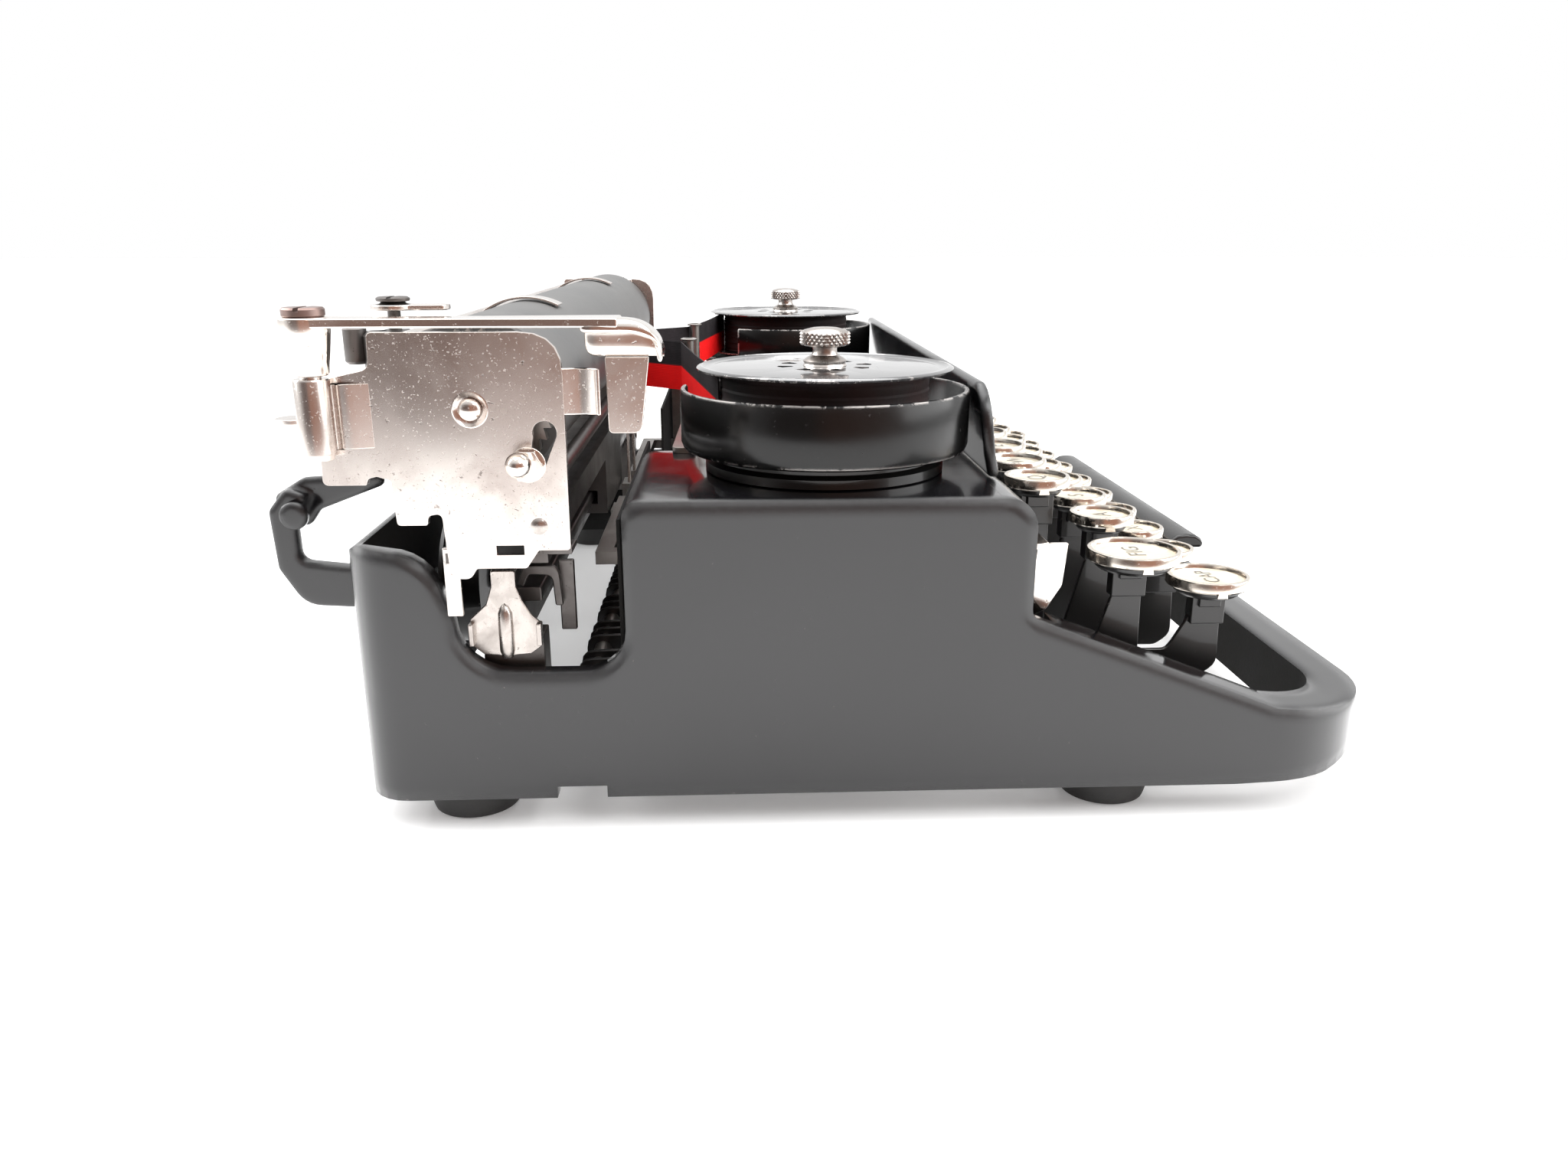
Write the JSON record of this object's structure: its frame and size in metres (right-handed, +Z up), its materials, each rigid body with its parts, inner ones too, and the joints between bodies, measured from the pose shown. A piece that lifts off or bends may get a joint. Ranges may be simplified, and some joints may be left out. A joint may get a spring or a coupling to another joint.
{
  "type": "typewriter",
  "caption": "Small portable typewriter: cast body with an open loop round three rows of sprung keys, sliding carriage with platen, return lever and ribbon spools.",
  "frame": {"origin": "on the table, under the middle of the whole machine's box", "axes": "+X to the typist's right along the carriage, +Y to the rear, +Z up"},
  "size_m": [0.2843, 0.2304, 0.1053],
  "materials": {
    "black_enamel": "gloss",
    "nickel": "polished",
    "steel": "satin",
    "rubber": "matte",
    "black_plastic": "gloss",
    "ribbon": "matte",
    "key_nickel": "polished",
    "brass": "satin",
    "key_card": "matte",
    "key_glass": "gloss"
  },
  "bodies": {
    "frame": {"body_frame": "black_enamel", "front_panel": "black_enamel", "ribbon_cups": "black_enamel", "spool_posts": "nickel", "type_basket": "steel", "key_rod": "steel", "carriage_rail": "steel", "rear_bracket": "black_enamel", "feet": "rubber", "ribbon_strands": "ribbon"},
    "carriage": {"carriage_bed": "steel", "left_end_plate": "nickel", "right_end_plate": "nickel", "paper_table": "black_enamel"},
    "platen": {"platen": "rubber", "platen_axle": "nickel"},
    "feed_roller": {"feed_roller": "rubber"},
    "return_lever": {"return_lever": "nickel"},
    "paper_release": {"paper_release": "nickel"},
    "paper_fingers": {"paper_fingers": "nickel"},
    "spacing_tab": {"spacing_tab": "nickel"},
    "left_spool": {"left_spool": "black_enamel"},
    "right_spool": {"right_spool": "black_enamel"},
    "ribbon_vibrator": {"ribbon_vibrator": "nickel"},
    "type_bar": {"type_bar": "steel"},
    "escapement_wheel": {"escapement_wheel": "brass"},
    "spring_drum": {"spring_drum": "brass"},
    "shift_lock": {"shift_lock": "nickel"},
    "shift_key_upper": {"shift_key_upper": "key_nickel"},
    "shift_key_lower": {"shift_key_lower": "key_nickel"},
    "space_bar": {"space_bar": "black_plastic"},
    "key_q": {"key_q": "key_nickel"},
    "key_w": {"key_w": "key_nickel"},
    "key_e": {"key_e": "key_nickel"},
    "key_r": {"key_r": "key_nickel"},
    "key_t": {"key_t": "key_nickel"},
    "key_y": {"key_y": "key_nickel"},
    "key_u": {"key_u": "key_nickel"},
    "key_i": {"key_i": "key_nickel"},
    "key_o": {"key_o": "key_nickel"},
    "key_p": {"key_p": "key_nickel"},
    "key_a": {"key_a": "key_nickel"},
    "key_s": {"key_s": "key_nickel"},
    "key_d": {"key_d": "key_nickel"},
    "key_f": {"key_f": "key_nickel"},
    "key_g": {"key_g": "key_nickel"},
    "key_h": {"key_h": "key_nickel"},
    "key_j": {"key_j": "key_nickel"},
    "key_k": {"key_k": "key_nickel"},
    "key_l": {"key_l": "key_nickel"},
    "key_backspace": {"key_backspace": "key_nickel"},
    "key_z": {"key_z": "key_nickel"},
    "key_x": {"key_x": "key_nickel"},
    "key_c": {"key_c": "key_nickel"},
    "key_v": {"key_v": "key_nickel"},
    "key_b": {"key_b": "key_nickel"},
    "key_n": {"key_n": "key_nickel"},
    "key_m": {"key_m": "key_nickel"},
    "key_comma": {"key_comma": "key_nickel"},
    "key_period": {"key_period": "key_nickel"}
  },
  "joints": [
    {"name": "carriage_slide", "type": "slide", "parent": "frame", "child": "carriage", "axis": [1, 0, 0], "range_m": [-0.085, 0.085]},
    {"name": "platen_turn", "type": "hinge", "parent": "carriage", "child": "platen", "pos_m": [-0.00755, 0.0688, 0.086], "axis": [1, 0, 0], "continuous": true},
    {"name": "return_lever_turn", "type": "hinge", "parent": "carriage", "child": "return_lever", "pos_m": [-0.13805, 0.0951, 0.1], "axis": [0, 0, 1], "range_deg": [0, 13], "stiffness_Nm_per_rad": 0.05},
    {"name": "paper_release_turn", "type": "hinge", "parent": "carriage", "child": "paper_release", "pos_m": [-0.12555, 0.0832, 0.1029], "axis": [0, 0, 1], "range_deg": [0, 25]},
    {"name": "paper_fingers_turn", "type": "hinge", "parent": "carriage", "child": "paper_fingers", "pos_m": [-0.00755, 0.07953, 0.09879], "axis": [-1, 0, 0], "range_deg": [0, 60]},
    {"name": "spacing_tab_turn", "type": "hinge", "parent": "carriage", "child": "spacing_tab", "pos_m": [-0.12555, 0.0908, 0.0824], "axis": [0, 0, 1], "range_deg": [-14, 14]},
    {"name": "feed_roller_turn", "type": "hinge", "parent": "carriage", "child": "feed_roller", "pos_m": [-0.00755, 0.075, 0.0686], "axis": [1, 0, 0], "continuous": true},
    {"name": "left_spool_turn", "type": "hinge", "parent": "frame", "child": "left_spool", "pos_m": [-0.09855, 0.0023, 0.08], "axis": [0, 0, 1], "continuous": true},
    {"name": "right_spool_turn", "type": "hinge", "parent": "frame", "child": "right_spool", "pos_m": [0.08345, 0.0023, 0.08], "axis": [0, 0, 1], "continuous": true},
    {"name": "vibrator_lift", "type": "slide", "parent": "frame", "child": "ribbon_vibrator", "axis": [0, 0, 1], "range_m": [0, 0.004]},
    {"name": "type_bar_swing", "type": "hinge", "parent": "frame", "child": "type_bar", "pos_m": [-0.00755, 0.0349, 0.04], "axis": [-1, 0, 0], "range_deg": [0, 84]},
    {"name": "escapement_turn", "type": "hinge", "parent": "frame", "child": "escapement_wheel", "pos_m": [-0.00755, 0.0778, 0.0464], "axis": [0, 1, 0], "continuous": true},
    {"name": "spring_drum_turn", "type": "hinge", "parent": "frame", "child": "spring_drum", "pos_m": [-0.07755, 0.0828, 0.038], "axis": [0, 1, 0], "continuous": true},
    {"name": "shift_lock_tilt", "type": "hinge", "parent": "frame", "child": "shift_lock", "pos_m": [-0.11955, -0.0335, 0.041], "axis": [1, 0, 0], "range_deg": [0, 6]},
    {"name": "shift_key_upper_press", "type": "hinge", "parent": "frame", "child": "shift_key_upper", "pos_m": [-0.00755, 0.0511, 0.028], "axis": [1, 0, 0], "range_deg": [0, 4], "stiffness_Nm_per_rad": 0.6},
    {"name": "shift_key_lower_press", "type": "hinge", "parent": "frame", "child": "shift_key_lower", "pos_m": [-0.00755, 0.0511, 0.028], "axis": [1, 0, 0], "range_deg": [0, 4], "stiffness_Nm_per_rad": 0.6},
    {"name": "space_bar_press", "type": "hinge", "parent": "frame", "child": "space_bar", "pos_m": [-0.00755, 0.0511, 0.028], "axis": [1, 0, 0], "range_deg": [0, 3.5], "stiffness_Nm_per_rad": 0.6},
    {"name": "key_q_press", "type": "hinge", "parent": "frame", "child": "key_q", "pos_m": [-0.00755, 0.0511, 0.028], "axis": [1, 0, 0], "range_deg": [0, 4.1], "stiffness_Nm_per_rad": 0.6},
    {"name": "key_w_press", "type": "hinge", "parent": "frame", "child": "key_w", "pos_m": [-0.00755, 0.0511, 0.028], "axis": [1, 0, 0], "range_deg": [0, 4.1], "stiffness_Nm_per_rad": 0.6},
    {"name": "key_e_press", "type": "hinge", "parent": "frame", "child": "key_e", "pos_m": [-0.00755, 0.0511, 0.028], "axis": [1, 0, 0], "range_deg": [0, 4.1], "stiffness_Nm_per_rad": 0.6},
    {"name": "key_r_press", "type": "hinge", "parent": "frame", "child": "key_r", "pos_m": [-0.00755, 0.0511, 0.028], "axis": [1, 0, 0], "range_deg": [0, 4.1], "stiffness_Nm_per_rad": 0.6},
    {"name": "key_t_press", "type": "hinge", "parent": "frame", "child": "key_t", "pos_m": [-0.00755, 0.0511, 0.028], "axis": [1, 0, 0], "range_deg": [0, 4.1], "stiffness_Nm_per_rad": 0.6},
    {"name": "key_y_press", "type": "hinge", "parent": "frame", "child": "key_y", "pos_m": [-0.00755, 0.0511, 0.028], "axis": [1, 0, 0], "range_deg": [0, 4.1], "stiffness_Nm_per_rad": 0.6},
    {"name": "key_u_press", "type": "hinge", "parent": "frame", "child": "key_u", "pos_m": [-0.00755, 0.0511, 0.028], "axis": [1, 0, 0], "range_deg": [0, 4.1], "stiffness_Nm_per_rad": 0.6},
    {"name": "key_i_press", "type": "hinge", "parent": "frame", "child": "key_i", "pos_m": [-0.00755, 0.0511, 0.028], "axis": [1, 0, 0], "range_deg": [0, 4.1], "stiffness_Nm_per_rad": 0.6},
    {"name": "key_o_press", "type": "hinge", "parent": "frame", "child": "key_o", "pos_m": [-0.00755, 0.0511, 0.028], "axis": [1, 0, 0], "range_deg": [0, 4.1], "stiffness_Nm_per_rad": 0.6},
    {"name": "key_p_press", "type": "hinge", "parent": "frame", "child": "key_p", "pos_m": [-0.00755, 0.0511, 0.028], "axis": [1, 0, 0], "range_deg": [0, 4.1], "stiffness_Nm_per_rad": 0.6},
    {"name": "key_a_press", "type": "hinge", "parent": "frame", "child": "key_a", "pos_m": [-0.00755, 0.0511, 0.028], "axis": [1, 0, 0], "range_deg": [0, 5], "stiffness_Nm_per_rad": 0.6},
    {"name": "key_s_press", "type": "hinge", "parent": "frame", "child": "key_s", "pos_m": [-0.00755, 0.0511, 0.028], "axis": [1, 0, 0], "range_deg": [0, 5], "stiffness_Nm_per_rad": 0.6},
    {"name": "key_d_press", "type": "hinge", "parent": "frame", "child": "key_d", "pos_m": [-0.00755, 0.0511, 0.028], "axis": [1, 0, 0], "range_deg": [0, 5], "stiffness_Nm_per_rad": 0.6},
    {"name": "key_f_press", "type": "hinge", "parent": "frame", "child": "key_f", "pos_m": [-0.00755, 0.0511, 0.028], "axis": [1, 0, 0], "range_deg": [0, 5], "stiffness_Nm_per_rad": 0.6},
    {"name": "key_g_press", "type": "hinge", "parent": "frame", "child": "key_g", "pos_m": [-0.00755, 0.0511, 0.028], "axis": [1, 0, 0], "range_deg": [0, 5], "stiffness_Nm_per_rad": 0.6},
    {"name": "key_h_press", "type": "hinge", "parent": "frame", "child": "key_h", "pos_m": [-0.00755, 0.0511, 0.028], "axis": [1, 0, 0], "range_deg": [0, 5], "stiffness_Nm_per_rad": 0.6},
    {"name": "key_j_press", "type": "hinge", "parent": "frame", "child": "key_j", "pos_m": [-0.00755, 0.0511, 0.028], "axis": [1, 0, 0], "range_deg": [0, 5], "stiffness_Nm_per_rad": 0.6},
    {"name": "key_k_press", "type": "hinge", "parent": "frame", "child": "key_k", "pos_m": [-0.00755, 0.0511, 0.028], "axis": [1, 0, 0], "range_deg": [0, 5], "stiffness_Nm_per_rad": 0.6},
    {"name": "key_l_press", "type": "hinge", "parent": "frame", "child": "key_l", "pos_m": [-0.00755, 0.0511, 0.028], "axis": [1, 0, 0], "range_deg": [0, 5], "stiffness_Nm_per_rad": 0.6},
    {"name": "key_backspace_press", "type": "hinge", "parent": "frame", "child": "key_backspace", "pos_m": [-0.00755, 0.0511, 0.028], "axis": [1, 0, 0], "range_deg": [0, 5], "stiffness_Nm_per_rad": 0.6},
    {"name": "key_z_press", "type": "hinge", "parent": "frame", "child": "key_z", "pos_m": [-0.00755, 0.0511, 0.028], "axis": [1, 0, 0], "range_deg": [0, 5], "stiffness_Nm_per_rad": 0.6},
    {"name": "key_x_press", "type": "hinge", "parent": "frame", "child": "key_x", "pos_m": [-0.00755, 0.0511, 0.028], "axis": [1, 0, 0], "range_deg": [0, 5], "stiffness_Nm_per_rad": 0.6},
    {"name": "key_c_press", "type": "hinge", "parent": "frame", "child": "key_c", "pos_m": [-0.00755, 0.0511, 0.028], "axis": [1, 0, 0], "range_deg": [0, 5], "stiffness_Nm_per_rad": 0.6},
    {"name": "key_v_press", "type": "hinge", "parent": "frame", "child": "key_v", "pos_m": [-0.00755, 0.0511, 0.028], "axis": [1, 0, 0], "range_deg": [0, 5], "stiffness_Nm_per_rad": 0.6},
    {"name": "key_b_press", "type": "hinge", "parent": "frame", "child": "key_b", "pos_m": [-0.00755, 0.0511, 0.028], "axis": [1, 0, 0], "range_deg": [0, 5], "stiffness_Nm_per_rad": 0.6},
    {"name": "key_n_press", "type": "hinge", "parent": "frame", "child": "key_n", "pos_m": [-0.00755, 0.0511, 0.028], "axis": [1, 0, 0], "range_deg": [0, 5], "stiffness_Nm_per_rad": 0.6},
    {"name": "key_m_press", "type": "hinge", "parent": "frame", "child": "key_m", "pos_m": [-0.00755, 0.0511, 0.028], "axis": [1, 0, 0], "range_deg": [0, 5], "stiffness_Nm_per_rad": 0.6},
    {"name": "key_comma_press", "type": "hinge", "parent": "frame", "child": "key_comma", "pos_m": [-0.00755, 0.0511, 0.028], "axis": [1, 0, 0], "range_deg": [0, 5], "stiffness_Nm_per_rad": 0.6},
    {"name": "key_period_press", "type": "hinge", "parent": "frame", "child": "key_period", "pos_m": [-0.00755, 0.0511, 0.028], "axis": [1, 0, 0], "range_deg": [0, 5], "stiffness_Nm_per_rad": 0.6}
  ],
  "couplings": [
    {"joint": "type_bar_swing", "follows": "key_g_press", "ratio": 16.8},
    {"joint": "vibrator_lift", "follows": "key_g_press", "m_per_rad": 0.045837},
    {"joint": "feed_roller_turn", "follows": "platen_turn", "ratio": -5.9615},
    {"joint": "escapement_turn", "follows": "carriage_slide", "rad_per_m": 166.67},
    {"joint": "spring_drum_turn", "follows": "carriage_slide", "rad_per_m": -66.667}
  ]
}
